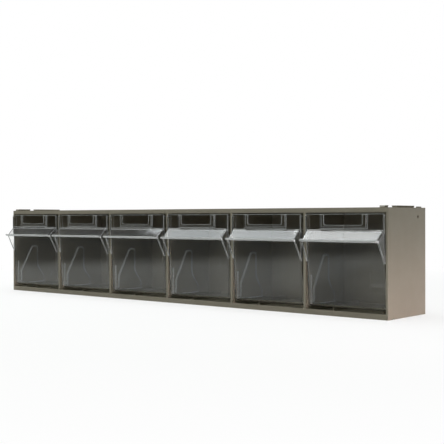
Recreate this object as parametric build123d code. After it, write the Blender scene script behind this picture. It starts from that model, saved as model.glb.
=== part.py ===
from build123d import *
import math
import os

# Tip-out storage unit: one moulded cabinet with a row of clear bins that tip forward.
# All sizes are in millimetres. While a piece is built, X = 0 is the middle of the cabinet or of
# the bin, Y = 0 is the cabinet's front plane with +Y into the cabinet, and Z = 0 is its underside.
# The finished pieces are moved back so that the origin lies under the middle of the cabinet.

# Cabinet
bay_count = 6
bay_pitch = 100.0
cabinet_depth = 79.0
cabinet_height = 112.0
end_wall = 2.6
divider = 2.6
skin = 2.5
back_wall = 2.5
lip_depth = 3.0
top_lip_height = 5.0
bottom_lip_height = 5.5
outer_edge_radius = 1.0
cavity_corner_radius = 1.5

# Pivot of a bin and its stub shaft
pivot_behind_front = 7.0
pivot_above_bottom = 2.8
stub_diameter = 5.6
stub_running_clearance = 0.08
stub_end_clearance = 0.2
stub_length = 1.9
collar_diameter = 9.4
collar_gap = 0.4

# Bin shell
bin_gap_at_end_wall = 0.3
bin_gap_over_lip = 3.0
bin_gap_at_back = 7.5
swing_clearance = 0.5
bin_wall = 1.6
front_inset = 1.5
header_proud = 2.8
rear_wall_lean = 0.8
front_foot_radius = 4.0
rear_foot_radius = 18.0
side_edge_radius = 2.5

# Header plate over the rim, with its end returns
header_gap_under_lip = 1.5
header_corner_radius = 1.5
return_depth = 6.3
return_top_drop = 2.0

# Label pocket on the header
pocket_width = 56.5
pocket_above_rim = 2.5
pocket_top_drop = 0.5
card_slot = 0.7
pocket_face = 1.1
pocket_rim = 1.5
window_width = 46.0
window_above_pocket_foot = 3.6
window_corner_radius = 2.0

# Pull: a hood under the header that ends in a finger lip
hood_root_above_rim = 1.3
hood_tip_proud = 13.0
hood_tip_drop = 10.5
hood_heel_drop = 33.3
hood_side_taper = 1.0
hood_hip_radius = 3.2
hood_wall = 1.6
lip_proud = 17.5
lip_rise = 0.8
lip_thickness = 2.3
lip_corner_radius = 3.0
lip_edge_radius = 0.9

# Moulded arch in each side wall of a bin, open at the bottom
arch_depth = 0.8
arch_edge_taper = 45.0
arch_front_y = 10.6
arch_knee_y = 11.3
arch_knee_z = 27.3
arch_peak_y = 30.5
arch_top_z = 62.0
arch_back_y = 40.6
arch_hip_z = 34.0
arch_toe_y = 52.0
arch_toe_z = 18.0
arch_peak_radius = 3.5
arch_knee_radius = 6.0
arch_hip_radius = 9.0

# Stiffening rib inside each side wall, over the stub shaft
inner_rib_y = 6.5
inner_rib_width = 1.0
inner_rib_height = 0.8
inner_rib_top_z = 41.0

# Rest ribs on the cabinet floor, under each bin
rest_rib_spacing = 60.0
rest_rib_width = 2.0
rest_rib_front_y = 25.0
rest_gap = 0.3

# Stacking rails on the top and their grooves in the underside
rail_x_from_end = 7.5
rail_foot_width = 5.0
rail_head_width = 7.0
rail_height = 2.0
rail_front_y = 1.0
left_rail_break_y = 22.0
left_rail_resume_y = 32.5
left_rail_from_back = 3.5
right_rail_break_y = 8.0
right_rail_resume_y = 26.3
right_rail_from_back = 17.0
rail_ramp = 1.4
groove_clearance = 0.2
groove_roof = 2.4
stop_rib_width = 2.0
stop_rib_length = 8.0
stop_rib_height = 1.3
stop_rib_from_end = 5.0

# Small features of the end walls. Only the right one has the hole
side_hole_diameter = 3.3
side_hole_from_back = 17.0
side_hole_from_top = 9.5
edge_notch_length = 3.0
edge_notch_height = 1.2
front_notch_y = 11.0
rear_notch_from_back = 9.5

# Worked out from the values above
cabinet_width = bay_count * bay_pitch
half_cabinet = cabinet_width / 2
inner_end = half_cabinet - end_wall
ceiling_z = cabinet_height - skin
bay_half_width = bay_pitch / 2 - divider / 2
bin_half_width = bay_pitch / 2 - end_wall - bin_gap_at_end_wall
bin_bottom_z = bottom_lip_height + bin_gap_over_lip
pivot_y = front_inset + pivot_behind_front
pivot_z = bin_bottom_z + pivot_above_bottom
stub_tip = bin_half_width + stub_length

# The rear rim is the point furthest from the pivot, and it swings just under the ceiling
rear_rim_y = cabinet_depth - back_wall - bin_gap_at_back
rear_bottom_y = rear_rim_y - rear_wall_lean
swing_radius = ceiling_z - swing_clearance - pivot_z
rim_z = pivot_z + math.sqrt(swing_radius**2 - (rear_rim_y - pivot_y) ** 2)

# Heights and depths on the front of a bin
header_front_y = -header_proud
header_back_y = header_front_y + bin_wall
header_top_z = cabinet_height - top_lip_height - header_gap_under_lip
pocket_bottom_z = rim_z + pocket_above_rim
window_bottom_z = pocket_bottom_z + window_above_pocket_foot
hood_root_z = rim_z + hood_root_above_rim
hood_tip_z = hood_root_z - hood_tip_drop
hood_heel_z = hood_root_z - hood_heel_drop
front_slope = (header_front_y - front_inset) / (hood_root_z - bin_bottom_z)

# Rails, grooves and the features of the end walls
rail_x = half_cabinet - rail_x_from_end
left_rail_lengths = (
    (rail_front_y, left_rail_break_y),
    (left_rail_resume_y, cabinet_depth - left_rail_from_back),
)
right_rail_lengths = (
    (rail_front_y, right_rail_break_y),
    (right_rail_resume_y, cabinet_depth - right_rail_from_back),
)
groove_depth = rail_height + groove_clearance
pad_top_z = groove_depth + groove_roof
side_hole_y = cabinet_depth - side_hole_from_back
side_hole_z = cabinet_height - side_hole_from_top
edge_notch_positions = (front_notch_y, cabinet_depth - rear_notch_from_back)

# How far a cutting form reaches past what it cuts, and how far the bin's form is built above its rim
cut = 5.0
rise_above_rim = 30.0


def block(x_low, x_high, y_low, y_high, z_low, z_high):
    """A box between two corners."""
    size = (x_high - x_low, y_high - y_low, z_high - z_low)
    middle = ((x_low + x_high) / 2, (y_low + y_high) / 2, (z_low + z_high) / 2)
    return Pos(*middle) * Box(*size)


def side_profile(points):
    """A face in the YZ plane at X = 0 from a list of (y, z) points."""
    outline = Polyline([(0, y, z) for y, z in points], close=True)
    return make_face(outline)


def spread(face, half_length):
    """A YZ face pulled out to both sides of X = 0."""
    return extrude(face, half_length, dir=(1, 0, 0), both=True)


def x_cylinder(diameter, x_low, x_high, y, z):
    """A cylinder along X."""
    length = x_high - x_low
    return Pos((x_low + x_high) / 2, y, z) * Rot(0, 90, 0) * Cylinder(diameter / 2, length)


def front_wall_y(z):
    """Y of the bin's outer front face, which leans forward towards the top."""
    return front_inset + front_slope * (z - bin_bottom_z)


def rear_wall_y(z):
    """Y of the bin's outer rear face."""
    slope = (rear_rim_y - rear_bottom_y) / (rim_z - bin_bottom_z)
    return rear_bottom_y + slope * (z - bin_bottom_z)


# Cabinet


def bay_centres():
    """X of the middle of each bay."""
    first = -half_cabinet + bay_pitch / 2
    return [first + bay_pitch * index for index in range(bay_count)]


def bay_sides(centre):
    """X of the two inner faces of a bay. The outermost ones are end walls."""
    left = max(centre - bay_half_width, -inner_end)
    right = min(centre + bay_half_width, inner_end)
    return left, right


def bay_cavity(centre):
    """The room for one bin, with the front opening between the two lips."""
    left, right = bay_sides(centre)
    room = block(left, right, lip_depth, cabinet_depth - back_wall, skin, ceiling_z)
    rear_edges = room.edges().filter_by(Axis.Z).group_by(Axis.Y)[-1]
    room = fillet(rear_edges, cavity_corner_radius)
    lower = bottom_lip_height
    upper = cabinet_height - top_lip_height
    return room + block(left, right, -cut, lip_depth + 1, lower, upper)


def pivot_collars(centre):
    """Raised rings on the dividers around the sockets. An end wall is near enough without one."""
    left, right = bay_sides(centre)
    low = centre - bin_half_width - collar_gap
    high = centre + bin_half_width + collar_gap
    root = divider / 4
    rings = []
    if low > left:
        rings.append(x_cylinder(collar_diameter, left - root, low, pivot_y, pivot_z))
    if high < right:
        rings.append(x_cylinder(collar_diameter, high, right + root, pivot_y, pivot_z))
    return rings


def pivot_sockets(centre):
    """Blind round sockets that the bin's two stub shafts turn in."""
    diameter = stub_diameter + 2 * stub_running_clearance
    reach = stub_tip + stub_end_clearance
    sockets = []
    for side in (-1, 1):
        inner = centre + side * (bin_half_width - bin_wall)
        outer = centre + side * reach
        sockets.append(x_cylinder(diameter, min(inner, outer), max(inner, outer), pivot_y, pivot_z))
    return sockets


def rest_ribs(centre):
    """Two ribs on the floor that the closed bin lies on."""
    top = bin_bottom_z - rest_gap
    back = cabinet_depth - back_wall / 2
    ribs = []
    for side in (-1, 1):
        x = centre + side * rest_rib_spacing / 2
        half = rest_rib_width / 2
        ribs.append(block(x - half, x + half, rest_rib_front_y, back, skin / 2, top))
    return ribs


def dovetail(foot, head, height, y_low, y_high):
    """A bar along Y that is wider at its head, standing on Z = 0 at X = 0."""
    corners = [(-foot / 2, 0), (foot / 2, 0), (head / 2, height), (-head / 2, height)]
    outline = Polyline([(x, y_high, z) for x, z in corners], close=True)
    return extrude(make_face(outline), y_high - y_low, dir=(0, -1, 0))


def top_rail(side, lengths):
    """The rail at one end of the top, in two lengths, the front one with a ramp on its nose."""
    seat = Pos(side * rail_x, 0, cabinet_height)
    section = (rail_foot_width, rail_head_width, rail_height)
    front, rear = [seat * dovetail(*section, *length) for length in lengths]
    nose = front.edges().filter_by(Axis.X).group_by(Axis.Y)[0].sort_by(Axis.Z)[-1]
    return [chamfer(nose, rail_ramp), rear]


def stop_rib():
    """The short low rib behind the right rail, narrow enough for the groove of the unit above."""
    outer = half_cabinet - stop_rib_from_end
    inner = outer - stop_rib_width
    front = cabinet_depth - stop_rib_length
    return block(inner, outer, front, cabinet_depth, ceiling_z, cabinet_height + stop_rib_height)


def groove_pad(side):
    """Thicker floor at one end that leaves room for the groove under it."""
    inner = side * (rail_x - rail_head_width / 2 - groove_roof)
    outer = side * (half_cabinet - end_wall / 2)
    low_x, high_x = min(inner, outer), max(inner, outer)
    return block(low_x, high_x, lip_depth / 2, cabinet_depth - back_wall / 2, skin / 2, pad_top_z)


def stacking_groove(side):
    """The groove that takes the rail of a unit below, open at the back."""
    mouth = rail_foot_width + 2 * groove_clearance
    roof = rail_head_width + 2 * groove_clearance
    front = rail_front_y - groove_clearance
    seat = Pos(side * rail_x, 0, 0)
    return seat * dovetail(mouth, roof, groove_depth, front, cabinet_depth + cut)


def edge_notches(side):
    """The two notches in the lower edge of one end wall."""
    inner = side * inner_end
    outer = side * (half_cabinet + cut)
    low_x, high_x = min(inner, outer), max(inner, outer)
    half = edge_notch_length / 2
    notches = []
    for y in edge_notch_positions:
        notches.append(block(low_x, high_x, y - half, y + half, -cut, edge_notch_height))
    return notches


def side_hole():
    """The round hole high on the right end wall."""
    inner = inner_end - end_wall / 2
    return x_cylinder(side_hole_diameter, inner, half_cabinet + cut, side_hole_y, side_hole_z)


def build_cabinet():
    """The one-piece cabinet: skin, dividers, lips, sockets, ribs, rails and grooves."""
    shell = block(-half_cabinet, half_cabinet, 0, cabinet_depth, 0, cabinet_height)
    shell = fillet(shell.edges().filter_by(Axis.Z), outer_edge_radius)
    for centre in bay_centres():
        shell -= bay_cavity(centre)
    for side, lengths in ((-1, left_rail_lengths), (1, right_rail_lengths)):
        shell += groove_pad(side)
        for rail in top_rail(side, lengths):
            shell += rail
    shell += stop_rib()
    for centre in bay_centres():
        for added in pivot_collars(centre) + rest_ribs(centre):
            shell += added
    for centre in bay_centres():
        for socket in pivot_sockets(centre):
            shell -= socket
    for side in (-1, 1):
        shell -= stacking_groove(side)
        for notch in edge_notches(side):
            shell -= notch
    return shell - side_hole()


# Bin


def tub(inset):
    """The bin's closed outer form, or the same form with every face set in, above the rim too."""
    tall = rim_z + rise_above_rim
    corners = [
        (front_wall_y(bin_bottom_z), bin_bottom_z),
        (rear_wall_y(bin_bottom_z), bin_bottom_z),
        (rear_wall_y(tall), tall),
        (front_wall_y(tall), tall),
    ]
    face = side_profile(corners)
    by_height = face.vertices().group_by(Axis.Z)[0].sort_by(Axis.Y)
    face = fillet(by_height[0], front_foot_radius)
    by_height = face.vertices().group_by(Axis.Z)[0].sort_by(Axis.Y)
    face = fillet(by_height[-1], rear_foot_radius)
    if inset:
        face = offset(face, -inset)
    body = spread(face, bin_half_width - inset)
    radius = side_edge_radius - inset
    return fillet(body.faces().filter_by(Axis.X).edges(), radius)


def arch_tool(side, face_x, deep):
    """The arch-shaped block that sinks the outer face, and raises the inner one, of a side wall."""
    low = bin_bottom_z - cut
    corners = [
        (arch_front_y, low),
        (arch_knee_y, arch_knee_z),
        (arch_peak_y, arch_top_z),
        (arch_back_y, arch_top_z),
        (arch_back_y, arch_hip_z),
        (arch_toe_y, arch_toe_z),
        (arch_toe_y, low),
    ]
    plane = Plane(origin=(face_x, 0, 0), x_dir=(0, 1, 0), z_dir=(-1, 0, 0))
    flat = [(y, -z, 0) for y, z in corners]
    outline = make_face(Polyline(flat, close=True))
    radii = ((1, arch_knee_radius), (2, arch_peak_radius), (3, arch_peak_radius), (4, arch_hip_radius))
    for index, radius in radii:
        spot = Vector(*flat[index])
        nearest = outline.vertices().sort_by(lambda vertex: (Vector(*vertex) - spot).length)[0]
        outline = fillet(nearest, radius)
    right = plane * extrude(outline, deep, taper=arch_edge_taper)
    return right if side > 0 else mirror(right, about=Plane.YZ)


def hood_form(inset):
    """All that lies under the hood's roof and between its cheeks, with every face set in."""
    root = Vector(header_front_y, hood_root_z, 0)
    tip = Vector(-hood_tip_proud, hood_tip_z, 0)
    along = (tip - root).normalized()
    inward = Vector(-along.Y, along.X, 0) * inset
    start = root + inward - along * cut
    end = tip + inward + along * cut
    under = hood_heel_z - cut
    profile = [(start.X, start.Y), (end.X, end.Y), (end.X, under), (start.X, under)]
    slope = hood_side_taper / (hood_tip_proud - header_proud)
    wide = bin_half_width - inset + slope * (start.X - header_front_y)
    narrow = bin_half_width - inset + slope * (end.X - header_front_y)
    plan = [(-wide, start.X), (-narrow, end.X), (narrow, end.X), (wide, start.X)]
    outline = Polyline([(x, y, 0) for x, y in plan], close=True)
    form = spread(side_profile(profile), bay_pitch) & extrude(make_face(outline), cabinet_height)
    hips = []
    for edge in form.edges():
        run = edge.end_point() - edge.start_point()
        if abs(run.Y) > 1 and abs(run.Z) > 1:
            hips.append(edge)
    return fillet(hips, hood_hip_radius - inset)


def hood():
    """The sloped roof and the two side cheeks of the pull, open underneath."""
    heel_y = front_wall_y(hood_heel_z)
    inside = bin_wall / 2
    under = hood_heel_z - cut
    body = side_profile([
        (header_front_y, hood_root_z),
        (-hood_tip_proud, hood_tip_z),
        (heel_y, hood_heel_z),
        (heel_y + inside, hood_heel_z),
        (header_front_y + inside, hood_root_z),
    ])
    before_wall = side_profile([
        (front_wall_y(hood_root_z), hood_root_z),
        (-lip_proud - cut, hood_root_z),
        (-lip_proud - cut, under),
        (front_wall_y(under), under),
    ])
    solid = spread(body, bin_half_width) & hood_form(0)
    room = spread(before_wall, bin_half_width) & hood_form(hood_wall)
    return solid - room


def finger_lip():
    """The flange along the hood's tip, with round corners and a round edge."""
    half = bin_half_width - hood_side_taper
    tip_y = -hood_tip_proud
    root_y = tip_y + hood_wall / 2
    corners = [
        (root_y, hood_tip_z - lip_thickness),
        (-lip_proud, hood_tip_z + lip_rise - lip_thickness),
        (-lip_proud, hood_tip_z + lip_rise),
        (tip_y, hood_tip_z),
    ]
    flange = spread(side_profile(corners), half)
    flange = fillet(flange.edges().filter_by(Axis.Z).group_by(Axis.Y)[0], lip_corner_radius)
    front_edges = [edge for edge in flange.edges() if edge.center().Y < tip_y - lip_corner_radius / 4]
    rounded = [edge for edge in front_edges if abs(edge.tangent_at(0.5).Z) < 0.5]
    flange = fillet(rounded, lip_edge_radius)
    low_corner = (root_y, hood_tip_z - lip_thickness)
    gusset = [low_corner, (tip_y, hood_tip_z), (tip_y + hood_wall, hood_tip_z)]
    return flange + spread(side_profile(gusset), half)


def header():
    """The plate over the rim with its two end returns."""
    low = rim_z - bin_wall
    plate = block(-bin_half_width, bin_half_width, header_front_y, header_back_y, low, header_top_z)
    corners = plate.edges().filter_by(Axis.Y).group_by(Axis.Z)[-1]
    plate = fillet(corners, header_corner_radius)
    top = header_top_z - return_top_drop
    near = header_front_y + bin_wall / 2
    far = header_front_y + return_depth
    for side in (-1, 1):
        outer = side * bin_half_width
        inner = outer - side * bin_wall
        plate += block(min(inner, outer), max(inner, outer), near, far, low, top)
    return plate


def label_pocket():
    """A raised frame on the header that holds a label card, open at the top."""
    half = pocket_width / 2
    top = header_top_z - pocket_top_drop
    front = header_front_y - card_slot - pocket_face
    frame = block(-half, half, front, header_front_y + bin_wall / 2, pocket_bottom_z, top)
    upright = frame.edges().filter_by(Axis.Z).group_by(Axis.Y)[0]
    frame = fillet(upright, pocket_face / 2)
    slot_half = half - pocket_rim
    slot_front = header_front_y - card_slot
    slot_low = pocket_bottom_z + pocket_rim
    frame -= block(-slot_half, slot_half, slot_front, header_front_y, slot_low, top + cut)
    window_half = window_width / 2
    window = block(-window_half, window_half, front - cut, slot_front, window_bottom_z, top + cut)
    window = fillet(window.edges().filter_by(Axis.Y).group_by(Axis.Z)[0], window_corner_radius)
    return frame - window


def build_bin():
    """One clear bin in a single piece."""
    outer = tub(0)
    inner = tub(bin_wall)
    below_rim = block(-bay_pitch, bay_pitch, -cut, cabinet_depth, 0, rim_z)
    shell = (outer - inner) & below_rim
    arches = [arch_tool(side, bin_half_width, arch_depth) for side in (-1, 1)]
    pads = [arch_tool(side, bin_half_width - bin_wall, arch_depth) for side in (-1, 1)]
    for arch in arches:
        shell -= arch
    for pad in pads:
        shell += pad & inner
    for side in (-1, 1):
        outer_x = side * (bin_half_width - bin_wall / 2)
        inner_x = side * (bin_half_width - bin_wall - inner_rib_height)
        low_x, high_x = min(outer_x, inner_x), max(outer_x, inner_x)
        rib_front = inner_rib_y - inner_rib_width / 2
        rib_back = inner_rib_y + inner_rib_width / 2
        rib_low = bin_bottom_z + bin_wall / 2
        shell += block(low_x, high_x, rib_front, rib_back, rib_low, inner_rib_top_z)
    shell += header()
    shell += hood()
    shell += finger_lip()
    shell += label_pocket()
    for side in (-1, 1):
        root = side * (bin_half_width - bin_wall / 2)
        tip = side * stub_tip
        shell += x_cylinder(stub_diameter, min(root, tip), max(root, tip), pivot_y, pivot_z)
    return shell


# Write each piece


def single(shape):
    """The one solid of a finished piece."""
    solids = shape.solids()
    assert len(solids) == 1, len(solids)
    return solids[0]


def main():
    os.makedirs("parts", exist_ok=True)
    to_row_frame = Pos(0, -cabinet_depth / 2, 0)
    cabinet = single(build_cabinet())
    export_step(to_row_frame * cabinet, "parts/cabinet.step")
    tip_out_bin = single(build_bin())
    for number, centre in enumerate(bay_centres(), start=1):
        placed = to_row_frame * Pos(centre, 0, 0) * tip_out_bin
        export_step(placed, f"parts/bin_{number}.step")


main()
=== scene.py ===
import math

import bpy
from mathutils import Matrix, Vector

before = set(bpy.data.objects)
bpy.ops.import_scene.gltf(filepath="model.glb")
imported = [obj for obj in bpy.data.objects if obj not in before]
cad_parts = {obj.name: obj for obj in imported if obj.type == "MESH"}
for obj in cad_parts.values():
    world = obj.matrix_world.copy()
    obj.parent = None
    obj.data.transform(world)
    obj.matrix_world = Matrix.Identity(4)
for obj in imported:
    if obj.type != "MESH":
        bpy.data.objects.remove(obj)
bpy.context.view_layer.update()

# Camera, at the photograph's place: metres and degrees in the row frame
CAMERA_AT = Vector((0.7400, -0.8195, 0.1021))
CAMERA_AZIMUTH = 39.969
CAMERA_ELEVATION = 0.292
CAMERA_ROLL = -0.085
CAMERA_LENS_MM = 72.41
SENSOR_MM = 36.0

# The cabinet's plastic, with faint flow marks, an uneven sheen and a grain. Repeats are for each metre
CABINET_COLOUR = (0.215, 0.196, 0.148)
CABINET_FADED = (0.235, 0.214, 0.164)
CABINET_IOR = 1.5
CABINET_ROUGHNESS = (0.40, 0.52)
FLOW_REPEATS = 9.0
FLOW_DETAIL = 4.0
FLOW_ROUGHNESS = 0.6
SHEEN_REPEATS = 60.0
SHEEN_SPAN = (0.3, 0.7)
GRAIN_REPEATS = 2600.0
GRAIN_DETAIL = 2.0
GRAIN_STRENGTH = 0.35
GRAIN_HEIGHT = 0.00012

# The bins' clear plastic. A pale, milky colour painted on its edges, lips and bends is a painted highlight
# for the light that gathers there
CLEAR_TINT = (0.985, 0.99, 0.985)
PAINTED_GLOW_TINT = (0.72, 0.74, 0.73)
CLEAR_IOR = 1.55
CLEAR_ROUGHNESS = (0.015, 0.05)
PAINTED_GLOW_ROUGHNESS = 0.3
PAINTED_GLOW_TRANSMISSION = 0.35
LAMP_LIGHT_PASSED = (0.965, 0.965, 0.955)
SMOOTHNESS_REPEATS = 45.0
WAVE_REPEATS = 38.0
WAVE_DETAIL = 2.0
WAVE_STRENGTH = 0.12
WAVE_HEIGHT = 0.0006

# The span that holds most of a noise texture's values
NOISE_SPAN = (0.35, 0.65)

# Where the painted glow lies, in metres on the parts. A cosine near one is a flat face
BEVEL_SAMPLES = 6
EDGE_RADIUS = 0.0008
EDGE_COSINES = (0.995, 0.93)
LIP_PAINTED_GLOW = 0.7
LIP_Y = (-0.0524, -0.0532)
ARCH_PAINTED_GLOW = 0.72
ARCH_RADIUS = 0.0030
ARCH_COSINES = (0.998, 0.95)
ARCH_FACING = (0.5, 0.65)
ARCH_Y = (-0.0305, 0.0030)
ARCH_Y_SOFT = 0.0050
ARCH_Z = (0.0130, 0.0650)
ARCH_Z_SOFT = 0.0015

# The white studio: how light each direction looks in a mirroring surface, and the fill for the rest
SKY_WHITE = (1.0, 1.0, 1.0)
SKY_WARM = (1.0, 0.84, 0.52)
FILL_COLOUR = (0.965, 1.0, 0.955)
FILL_STRENGTH = 0.42
FRONT_DARK = 0.05
OVERHEAD_DIM = 0.16
BEHIND_Y = (0.05, 0.45)
ABOVE_Z = (0.15, 0.6)

# The floor. Its slant grows from front to back and a little to the right, in metres. Where clear plastic
# mirrors the floor, painted shade makes it darker to the front and to the right
FLOOR_COLOUR = (0.84, 0.84, 0.83)
FLOOR_PAINTED_SHADE = (0.02, 0.02, 0.02)
FLOOR_HALF_WIDTH = 8.0
FLOOR_FADE_DISTANCE = (0.25, 0.8)
FLOOR_FADE = (0.68, 1.0)
FLOOR_SLANT = (0.387, 1.0, 0.0)
FRONT_SLANT = (-0.36, -0.50)
FRONT_PAINTED_SHADE = (0.33, 0.88)
ASIDE_X = (0.0, 0.12)
ASIDE_PAINTED_SHADE = (0.0, 0.55)
BEHIND_SLANT = (0.1, 0.5)

# Clear walls lie behind one another, so rays need many steps
LIGHT_STEPS = 24


class Shader:
    """A short way to add nodes to a material or world and join them."""

    def __init__(self, owner):
        owner.use_nodes = True
        self.tree = owner.node_tree
        self.tree.nodes.clear()

    def add(self, kind, **settings):
        node = self.tree.nodes.new(kind)
        for name, value in settings.items():
            setattr(node, name, value)
        return node

    def join(self, source, target):
        self.tree.links.new(source, target)


def combine(shader, operation, first, second):
    """One value worked out from two others."""
    node = shader.add("ShaderNodeMath", operation=operation)
    shader.join(first, node.inputs[0])
    shader.join(second, node.inputs[1])
    return node.outputs["Value"]


def remap(shader, value, span, onto=(0.0, 1.0)):
    """Maps a value from one range onto another, and holds it at the ends."""
    node = shader.add("ShaderNodeMapRange")
    node.inputs["From Min"].default_value = span[0]
    node.inputs["From Max"].default_value = span[1]
    node.inputs["To Min"].default_value = onto[0]
    node.inputs["To Max"].default_value = onto[1]
    shader.join(value, node.inputs["Value"])
    return node.outputs["Result"]


def within(shader, value, span, soft):
    """One between two values, with a soft end on each side."""
    low, high = span
    rising = remap(shader, value, (low - soft, low))
    falling = remap(shader, value, (high, high + soft), (1.0, 0.0))
    return combine(shader, "MULTIPLY", rising, falling)


def noise(shader, coordinates, repeats, detail=3.0, roughness=0.5):
    """A noise texture on object coordinates. The repeats are for each metre."""
    node = shader.add("ShaderNodeTexNoise")
    node.inputs["Scale"].default_value = repeats
    node.inputs["Detail"].default_value = detail
    node.inputs["Roughness"].default_value = roughness
    shader.join(coordinates, node.inputs["Vector"])
    return node.outputs["Fac"]


def bump(shader, height, strength, distance):
    """A normal that is tilted by a height map."""
    node = shader.add("ShaderNodeBump")
    node.inputs["Strength"].default_value = strength
    node.inputs["Distance"].default_value = distance
    shader.join(height, node.inputs["Height"])
    return node.outputs["Normal"]


def blend_colours(shader, factor, first, second):
    """A colour between two, by a factor."""
    node = shader.add("ShaderNodeMix", data_type="RGBA")
    node.inputs[6].default_value = (*first, 1)
    node.inputs[7].default_value = (*second, 1)
    shader.join(factor, node.inputs["Factor"])
    return node.outputs[2]


def mix_surfaces(shader, factor, first, second):
    """The first surface where the factor is nought, the second where it is one."""
    node = shader.add("ShaderNodeMixShader")
    shader.join(factor, node.inputs["Fac"])
    shader.join(first, node.inputs[1])
    shader.join(second, node.inputs[2])
    return node.outputs["Shader"]


def object_place(shader):
    """The place on the part, in metres."""
    return shader.add("ShaderNodeTexCoord").outputs["Object"]


def split_axes(shader, vector):
    """The X, Y and Z of a vector."""
    node = shader.add("ShaderNodeSeparateXYZ")
    shader.join(vector, node.inputs["Vector"])
    return node.outputs


def cabinet_plastic():
    """Warm grey moulded plastic with a fine matt grain and faint flow marks."""
    material = bpy.data.materials.new("cabinet_plastic_look")
    shader = Shader(material)
    output = shader.add("ShaderNodeOutputMaterial")
    body = shader.add("ShaderNodeBsdfPrincipled")
    body.inputs["IOR"].default_value = CABINET_IOR
    where = object_place(shader)
    marks = remap(shader, noise(shader, where, FLOW_REPEATS, FLOW_DETAIL, FLOW_ROUGHNESS), NOISE_SPAN)
    shader.join(blend_colours(shader, marks, CABINET_COLOUR, CABINET_FADED), body.inputs["Base Color"])
    rough = remap(shader, noise(shader, where, SHEEN_REPEATS), SHEEN_SPAN, CABINET_ROUGHNESS)
    shader.join(rough, body.inputs["Roughness"])
    grain = noise(shader, where, GRAIN_REPEATS, GRAIN_DETAIL)
    shader.join(bump(shader, grain, GRAIN_STRENGTH, GRAIN_HEIGHT), body.inputs["Normal"])
    shader.join(body.outputs["BSDF"], output.inputs["Surface"])
    return material


def edge_mask(shader, radius, cosines):
    """One near a sharp edge, where clear plastic gathers light, and nought on the open faces."""
    rounded = shader.add("ShaderNodeBevel", samples=BEVEL_SAMPLES)
    rounded.inputs["Radius"].default_value = radius
    plain = shader.add("ShaderNodeNewGeometry")
    along = shader.add("ShaderNodeVectorMath", operation="DOT_PRODUCT")
    shader.join(rounded.outputs["Normal"], along.inputs[0])
    shader.join(plain.outputs["Normal"], along.inputs[1])
    return remap(shader, along.outputs["Value"], cosines)


def arch_glow_mask(shader, parts):
    """One along the moulded arch in each side wall, where a painted highlight makes its soft bends show as
    pale lines.
    """
    facing = split_axes(shader, shader.add("ShaderNodeNewGeometry").outputs["Normal"])
    sideways = shader.add("ShaderNodeMath", operation="ABSOLUTE")
    shader.join(facing["X"], sideways.inputs[0])
    mask = remap(shader, sideways.outputs["Value"], ARCH_FACING, (0.0, ARCH_PAINTED_GLOW))
    bends = edge_mask(shader, ARCH_RADIUS, ARCH_COSINES)
    depth = within(shader, parts["Y"], ARCH_Y, ARCH_Y_SOFT)
    height = within(shader, parts["Z"], ARCH_Z, ARCH_Z_SOFT)
    for factor in (bends, depth, height):
        mask = combine(shader, "MULTIPLY", mask, factor)
    return mask


def clear_plastic():
    """Clear moulded plastic, with a painted highlight on its edges, lips and arch bends. Lamp light passes
    it, so that the inside of the cabinet is lit through it.
    """
    material = bpy.data.materials.new("clear_plastic_look")
    shader = Shader(material)
    output = shader.add("ShaderNodeOutputMaterial")
    body = shader.add("ShaderNodeBsdfPrincipled")
    body.inputs["IOR"].default_value = CLEAR_IOR
    where = object_place(shader)
    parts = split_axes(shader, where)
    # Painted highlight: pale, milky colour on edges, lips and arch bends, for the light that gathers there
    edge_glow = edge_mask(shader, EDGE_RADIUS, EDGE_COSINES)
    lip_glow = remap(shader, parts["Y"], LIP_Y, (0.0, LIP_PAINTED_GLOW))
    painted_glow = combine(shader, "MAXIMUM", edge_glow, lip_glow)
    painted_glow = combine(shader, "MAXIMUM", painted_glow, arch_glow_mask(shader, parts))
    shader.join(blend_colours(shader, painted_glow, CLEAR_TINT, PAINTED_GLOW_TINT), body.inputs["Base Color"])
    passed = remap(shader, painted_glow, (0.0, 1.0), (1.0, PAINTED_GLOW_TRANSMISSION))
    shader.join(passed, body.inputs["Transmission Weight"])
    smooth = remap(shader, noise(shader, where, SMOOTHNESS_REPEATS), NOISE_SPAN, CLEAR_ROUGHNESS)
    glow_rough = remap(shader, painted_glow, (0.0, 1.0), (0.0, PAINTED_GLOW_ROUGHNESS))
    shader.join(combine(shader, "MAXIMUM", smooth, glow_rough), body.inputs["Roughness"])
    waves = noise(shader, where, WAVE_REPEATS, WAVE_DETAIL)
    shader.join(bump(shader, waves, WAVE_STRENGTH, WAVE_HEIGHT), body.inputs["Normal"])
    passing = shader.add("ShaderNodeBsdfTransparent")
    passing.inputs["Color"].default_value = (*LAMP_LIGHT_PASSED, 1)
    path = shader.add("ShaderNodeLightPath").outputs
    surface = mix_surfaces(shader, path["Is Shadow Ray"], body.outputs["BSDF"], passing.outputs["BSDF"])
    shader.join(surface, output.inputs["Surface"])
    return material


def dress(node_name, material):
    """Gives a carried-over node its look."""
    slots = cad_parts[node_name].data.materials
    for index in range(len(slots)):
        slots[index] = material


def background(shader, colour, strength):
    """A sky of one colour and strength."""
    node = shader.add("ShaderNodeBackground")
    node.inputs["Color"].default_value = (*colour, 1)
    node.inputs["Strength"].default_value = strength
    return node


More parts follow.
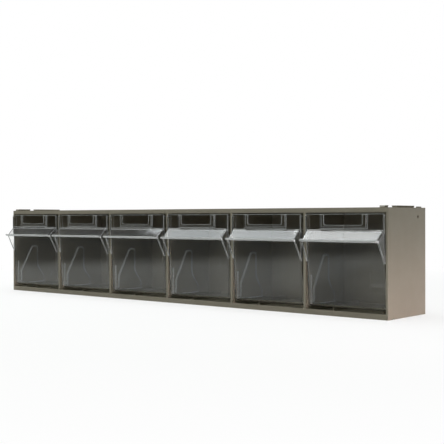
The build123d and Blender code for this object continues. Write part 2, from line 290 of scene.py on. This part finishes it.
def make_world():
    """White behind the object, dim in front of it as in a studio, and an even fill for plain surfaces."""
    world = bpy.data.worlds.new("studio")
    bpy.context.scene.world = world
    shader = Shader(world)
    output = shader.add("ShaderNodeOutputWorld")
    parts = split_axes(shader, shader.add("ShaderNodeTexCoord").outputs["Generated"])
    behind = remap(shader, parts["Y"], BEHIND_Y, (FRONT_DARK, 1.0))
    above = remap(shader, parts["Z"], ABOVE_Z, (0.0, OVERHEAD_DIM))
    seen = combine(shader, "MAXIMUM", behind, above)
    studio = background(shader, SKY_WHITE, 1.0)
    lightness = remap(shader, seen, (FRONT_DARK, OVERHEAD_DIM))
    shader.join(blend_colours(shader, lightness, SKY_WARM, SKY_WHITE), studio.inputs["Color"])
    shader.join(seen, studio.inputs["Strength"])
    studio_look = studio.outputs["Background"]
    fill = background(shader, FILL_COLOUR, FILL_STRENGTH).outputs["Background"]
    white = background(shader, SKY_WHITE, 1.0).outputs["Background"]
    path = shader.add("ShaderNodeLightPath").outputs
    look = mix_surfaces(shader, path["Is Glossy Ray"], fill, studio_look)
    look = mix_surfaces(shader, path["Is Transmission Ray"], look, studio_look)
    look = mix_surfaces(shader, path["Is Camera Ray"], look, white)
    shader.join(look, output.inputs["Surface"])


def floor_look():
    """Pale and matt, white far off and seen through clear plastic, and dark where plastic mirrors it, by
    painted shade that grows to the front and to the right.
    """
    material = bpy.data.materials.new("floor_look")
    shader = Shader(material)
    output = shader.add("ShaderNodeOutputMaterial")
    matt = shader.add("ShaderNodeBsdfDiffuse")
    white = shader.add("ShaderNodeEmission")
    white.inputs["Strength"].default_value = 1.0
    path = shader.add("ShaderNodeLightPath").outputs
    where = object_place(shader)
    distance = shader.add("ShaderNodeVectorMath", operation="LENGTH")
    shader.join(where, distance.inputs[0])
    far = remap(shader, distance.outputs["Value"], FLOOR_FADE_DISTANCE, FLOOR_FADE)
    slant = shader.add("ShaderNodeVectorMath", operation="DOT_PRODUCT")
    slant.inputs[1].default_value = FLOOR_SLANT
    shader.join(where, slant.inputs[0])
    # Painted shade on the floor as the plastic mirrors it, darker to the front and to the right
    forward = remap(shader, slant.outputs["Value"], FRONT_SLANT, FRONT_PAINTED_SHADE)
    aside = remap(shader, split_axes(shader, where)["X"], ASIDE_X, ASIDE_PAINTED_SHADE)
    painted_dimming = combine(shader, "MAXIMUM", forward, aside)
    mirrored_painted_shade = combine(shader, "MULTIPLY", painted_dimming, path["Is Glossy Ray"])
    shader.join(blend_colours(shader, mirrored_painted_shade, FLOOR_COLOUR, FLOOR_PAINTED_SHADE), matt.inputs["Color"])
    behind = remap(shader, slant.outputs["Value"], BEHIND_SLANT)
    through = combine(shader, "MULTIPLY", behind, path["Is Transmission Ray"])
    direct = combine(shader, "MAXIMUM", path["Is Camera Ray"], through)
    seen = combine(shader, "MULTIPLY", far, direct)
    surface = mix_surfaces(shader, seen, matt.outputs["BSDF"], white.outputs["Emission"])
    shader.join(surface, output.inputs["Surface"])
    return material


def make_floor():
    """A pale floor that keeps the shadow near the object and fades into the white background."""
    half = FLOOR_HALF_WIDTH
    mesh = bpy.data.meshes.new("floor")
    corners = [(-half, -half, 0), (half, -half, 0), (half, half, 0), (-half, half, 0)]
    mesh.from_pydata(corners, [], [(0, 1, 2, 3)])
    floor = bpy.data.objects.new("floor", mesh)
    bpy.context.scene.collection.objects.link(floor)
    mesh.materials.append(floor_look())


def softbox(name, at, towards, size, radiance, colour=(1, 1, 1), turn=0, spread=180):
    """A rectangular lamp that faces a point, turned about its axis. Radiance is how bright its face looks."""
    data = bpy.data.lights.new(name, "AREA")
    data.shape = "RECTANGLE"
    data.size, data.size_y = size
    data.energy = radiance * math.pi * size[0] * size[1]
    data.color = colour
    data.spread = math.radians(spread)
    lamp = bpy.data.objects.new(name, data)
    bpy.context.scene.collection.objects.link(lamp)
    lamp.location = at
    facing = (Vector(towards) - Vector(at)).to_track_quat("-Z", "Y").to_matrix()
    lamp.rotation_euler = (facing @ Matrix.Rotation(math.radians(turn), 3, "Z")).to_euler()
    lamp.visible_camera = False


def make_lights():
    """Three lamps over the row, which the sloped hoods mirror, two at the right end and one in front."""
    softbox(
        "overhead", at=(-0.417, 0.101, 1.5), towards=(-0.417, 0.101, 0),
        size=(2.2, 1.2), radiance=2.1, colour=(0.92, 0.98, 1.0), turn=-23.5,
    )
    softbox(
        "over_fifth", at=(-0.92, -0.05, 1.45), towards=(-0.92, -0.05, 0),
        size=(0.30, 0.9), radiance=0.65, colour=(0.95, 0.99, 1.0),
    )
    softbox(
        "over_sixth", at=(-0.52, -0.05, 1.44), towards=(-0.52, -0.05, 0),
        size=(0.50, 0.9), radiance=1.9, colour=(1.0, 0.99, 0.97),
    )
    softbox(
        "right_side", at=(2.2, 0.2, 0.7), towards=(0.25, 0.0, 0.05),
        size=(1.2, 1.0), radiance=0.30, colour=(1.0, 0.62, 0.62),
    )
    softbox(
        "right_low", at=(1.5, 0.0, 0.14), towards=(0.3, 0.0, -0.03),
        size=(0.5, 0.06), radiance=2.8, colour=(1.0, 0.82, 0.86), spread=14,
    )
    softbox(
        "front", at=(-0.05, -1.1, 0.85), towards=(-0.1, 0.0, 0.05),
        size=(0.8, 0.4), radiance=2.2,
    )


def make_camera():
    """A camera that stands, turns and tilts as the photograph's did."""
    data = bpy.data.cameras.new("camera")
    data.lens = CAMERA_LENS_MM
    data.sensor_width = SENSOR_MM
    camera = bpy.data.objects.new("camera", data)
    bpy.context.scene.collection.objects.link(camera)
    turn = Matrix.Rotation(math.radians(CAMERA_AZIMUTH), 4, "Z")
    tilt = Matrix.Rotation(math.radians(90 - CAMERA_ELEVATION), 4, "X")
    roll = Matrix.Rotation(math.radians(CAMERA_ROLL), 4, "Z")
    camera.matrix_world = Matrix.Translation(CAMERA_AT) @ turn @ tilt @ roll
    bpy.context.scene.camera = camera


make_camera()
make_world()
make_floor()
make_lights()
dress("cabinet", cabinet_plastic())
clear = clear_plastic()
for node_name in sorted(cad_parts):
    if node_name.startswith("bin_"):
        dress(node_name, clear)

scene = bpy.context.scene
scene.view_settings.view_transform = "Standard"
scene.cycles.max_bounces = LIGHT_STEPS
scene.cycles.transmission_bounces = LIGHT_STEPS
scene.cycles.transparent_max_bounces = LIGHT_STEPS
